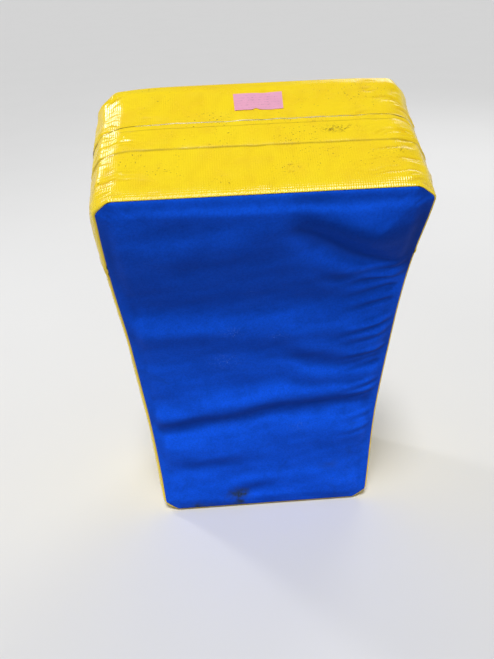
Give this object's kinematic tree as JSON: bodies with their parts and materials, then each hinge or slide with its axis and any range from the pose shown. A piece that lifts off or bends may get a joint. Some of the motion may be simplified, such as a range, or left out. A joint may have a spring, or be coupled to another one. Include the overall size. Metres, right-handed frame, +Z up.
{
  "type": "kick shield",
  "caption": "Thick curved and tapered kick shield: a foam core in a coated fabric cover with a blue strike face, a yellow border, a closing flap on the top end and padded arm straps behind.",
  "frame": {"origin": "centre of the flat bottom end, at mid thickness", "axes": "+Z up, +Y to the back with the arm straps, -Y to the strike face, X across the width; the pad bends towards -Y as it rises"},
  "size_m": [0.4462, 0.4446, 0.77],
  "materials": {
    "blue_vinyl": "matte",
    "yellow_vinyl": "satin",
    "foam_firm": "matte",
    "foam_soft": "matte",
    "hook_tape": "matte",
    "loop_tape": "matte",
    "label": "matte",
    "patch_fabric": "satin",
    "webbing": "matte"
  },
  "bodies": {
    "pad": {"face_foam": "foam_firm", "core_foam": "foam_soft", "back_foam": "foam_firm", "strike_panel": "blue_vinyl", "back_panel": "yellow_vinyl", "side_gusset": "yellow_vinyl", "top_gusset_front": "yellow_vinyl", "top_gusset_back": "yellow_vinyl", "loop_strip": "loop_tape", "flap_corner_left": "yellow_vinyl", "flap_corner_right": "yellow_vinyl", "care_label": "label", "upper_patch_left": "patch_fabric", "upper_patch_right": "patch_fabric", "upper_webbing": "webbing", "upper_strap_foam": "foam_soft", "upper_sleeve": "blue_vinyl", "lower_patch_left": "patch_fabric", "lower_patch_right": "patch_fabric", "lower_webbing": "webbing", "lower_strap_foam": "foam_soft", "lower_sleeve": "blue_vinyl"},
    "flap": {"closure_flap": "yellow_vinyl", "hook_strip": "hook_tape"}
  },
  "joints": [
    {"name": "flap_lift", "type": "hinge", "parent": "pad", "child": "flap", "pos_m": [0, -0.20562, 0.71187], "axis": [1, 0, 0], "range_deg": [0, 110]}
  ]
}
